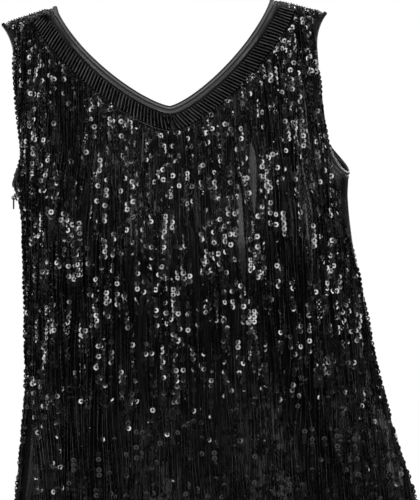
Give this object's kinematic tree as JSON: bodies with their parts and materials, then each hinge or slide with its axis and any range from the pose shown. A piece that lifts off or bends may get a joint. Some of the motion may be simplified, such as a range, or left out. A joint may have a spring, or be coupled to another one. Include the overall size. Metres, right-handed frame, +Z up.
{
  "type": "latin dance dress",
  "caption": "Sleeveless V-neck dance dress, worn with no wearer: a hollow stretch base with bound edges, hanging sequin fringe and a side zip.",
  "frame": {"origin": "between the wearer's shoulders, level with the tops of the straps", "axes": "+Z up, the front faces -Y, +X is the right of someone looking at the front"},
  "size_m": [0.4894, 0.2868, 0.7917],
  "materials": {
    "base_jersey": "smooth black stretch jersey with a soft sheen",
    "satin_binding": "folded black stretch binding with a satin sheen",
    "sequins": "glossy black ring sequins strung on thread",
    "thread": "black spun thread",
    "zip_tape": "woven black zip tape",
    "zip_metal": "black painted metal, slightly worn"
  },
  "bodies": {
    "dress": {"front_panel": "base_jersey", "back_panel": "base_jersey", "neck_binding": "satin_binding", "armhole_binding_left": "satin_binding", "armhole_binding_right": "satin_binding", "neck_band_front": "sequins", "neck_band_back": "sequins", "shoulder_strip_left": "sequins", "shoulder_strip_right": "sequins", "fringe_front": "sequins", "fringe_back": "sequins", "zip_tape": "zip_tape", "zip_slider": "zip_metal"},
    "zip_tab": {"zip_tab": "zip_metal"}
  },
  "joints": [
    {"name": "zip_tab_swing", "type": "hinge", "parent": "dress", "child": "zip_tab", "pos_m": [-0.1603, 0, -0.20704], "axis": [0, 1, 0], "range_deg": [-10, 150]}
  ]
}
